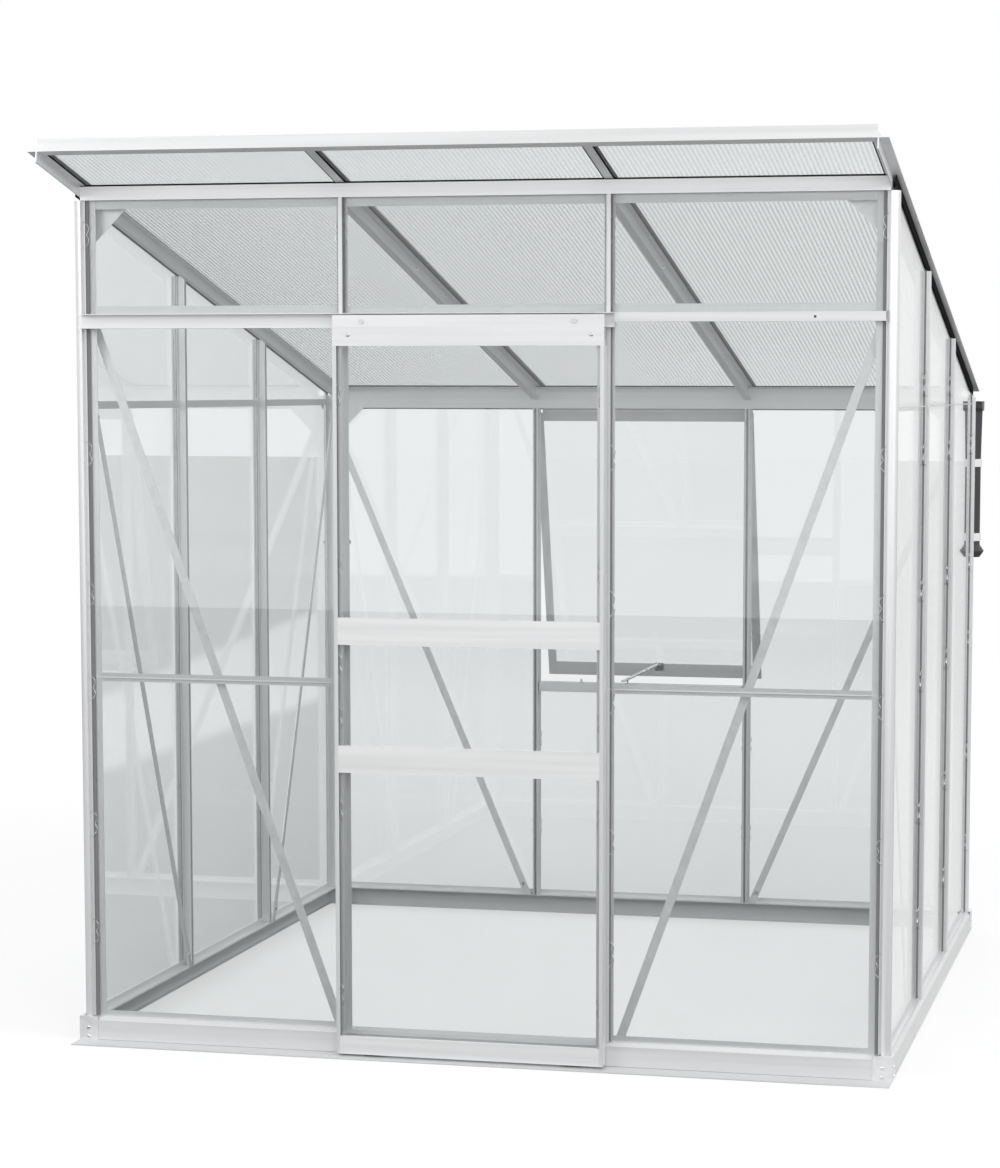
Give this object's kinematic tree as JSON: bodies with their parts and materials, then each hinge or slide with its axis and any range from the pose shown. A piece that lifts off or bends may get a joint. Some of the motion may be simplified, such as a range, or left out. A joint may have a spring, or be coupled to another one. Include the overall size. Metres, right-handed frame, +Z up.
{
  "type": "pent roof greenhouse",
  "caption": "Pent roof garden greenhouse with aluminium glazing bars, glass walls, ribbed roof sheets, a sliding door hung from a track and a top-hung rear window",
  "frame": {"origin": "On the ground under the middle of the outline of the whole greenhouse", "axes": "+Z up, front wall with the sliding door faces -Y, +X to the right seen from the front"},
  "size_m": [1.954, 2.351, 2.0826],
  "materials": {
    "frame_aluminium": "natural satin aluminium extrusions",
    "plinth_aluminium": "pale satin folded sheet",
    "glass": "clear horticultural glass with a faint green tint",
    "roof_polycarbonate": "clear twin-wall sheet with fine lengthwise ribs",
    "black_rubber": "matt black glazing seal",
    "gutter_plastic": "dark grey moulded plastic",
    "clip_plastic": "white moulded plastic",
    "glide_plastic": "dark hard nylon",
    "bright_steel": "zinc plated steel"
  },
  "bodies": {
    "frame": {"braces_back": "frame_aluminium", "braces_front": "frame_aluminium", "braces_sides": "frame_aluminium", "door_track": "frame_aluminium", "downpipes": "gutter_plastic", "eave_rail": "frame_aluminium", "end_rafters": "frame_aluminium", "fascia": "frame_aluminium", "frame_bolts": "bright_steel", "front_beam": "frame_aluminium", "girts_front": "frame_aluminium", "girts_sides": "frame_aluminium", "glass_back": "glass", "glass_clerestory": "glass", "glass_front": "glass", "glass_gables": "glass", "glass_sides": "glass", "gussets": "frame_aluminium", "gutter": "gutter_plastic", "head_bar": "frame_aluminium", "mullions_back": "frame_aluminium", "mullions_front": "frame_aluminium", "mullions_sides": "frame_aluminium", "pipe_clips": "clip_plastic", "plinth_back": "plinth_aluminium", "plinth_corners": "plinth_aluminium", "plinth_front": "plinth_aluminium", "plinth_sides": "plinth_aluminium", "posts_back": "frame_aluminium", "posts_front": "frame_aluminium", "rafters": "frame_aluminium", "roof_bars": "frame_aluminium", "roof_seals": "black_rubber", "roof_sheets": "roof_polycarbonate", "sill_back": "frame_aluminium", "sill_front": "frame_aluminium", "sill_pegs": "bright_steel", "sill_sides": "frame_aluminium", "transoms": "frame_aluminium", "verges": "frame_aluminium", "window_claw": "frame_aluminium", "window_sill": "frame_aluminium"},
    "door": {"door_stile_left": "frame_aluminium", "door_stile_right": "frame_aluminium", "door_head": "frame_aluminium", "door_rail_upper": "frame_aluminium", "door_rail_lower": "frame_aluminium", "door_rail_bottom": "frame_aluminium", "door_panes": "glass", "door_axles": "bright_steel", "door_guides": "glide_plastic"},
    "door_wheel_left": {"door_roller_left": "glide_plastic"},
    "door_wheel_right": {"door_roller_right": "glide_plastic"},
    "window": {"window_stiles": "frame_aluminium", "window_head_rail": "frame_aluminium", "window_foot_rail": "frame_aluminium", "window_pane": "glass", "stay_bracket": "bright_steel"},
    "stay": {"window_stay": "bright_steel"}
  },
  "joints": [
    {"name": "door_slide", "type": "slide", "parent": "frame", "child": "door", "axis": [-1, 0, 0], "range_m": [0, 0.6]},
    {"name": "roller_left_spin", "type": "hinge", "parent": "door", "child": "door_wheel_left", "pos_m": [-0.25, -0.93933, 1.683], "axis": [0, -1, 0], "range_deg": [0, 2866]},
    {"name": "roller_right_spin", "type": "hinge", "parent": "door", "child": "door_wheel_right", "pos_m": [0.241, -0.93933, 1.683], "axis": [0, -1, 0], "range_deg": [0, 2866]},
    {"name": "window_hinge", "type": "hinge", "parent": "frame", "child": "window", "pos_m": [0, 0.98567, 1.46995], "axis": [1, 0, 0], "range_deg": [-13, 27]},
    {"name": "stay_pivot", "type": "hinge", "parent": "window", "child": "stay", "pos_m": [0.016, 1.14681, 0.72306], "axis": [0, -0.1444, 0.9895], "range_deg": [-72, 0]}
  ],
  "couplings": [
    {"joint": "roller_left_spin", "follows": "door_slide", "rad_per_m": 83.333},
    {"joint": "roller_right_spin", "follows": "door_slide", "rad_per_m": 83.333}
  ]
}
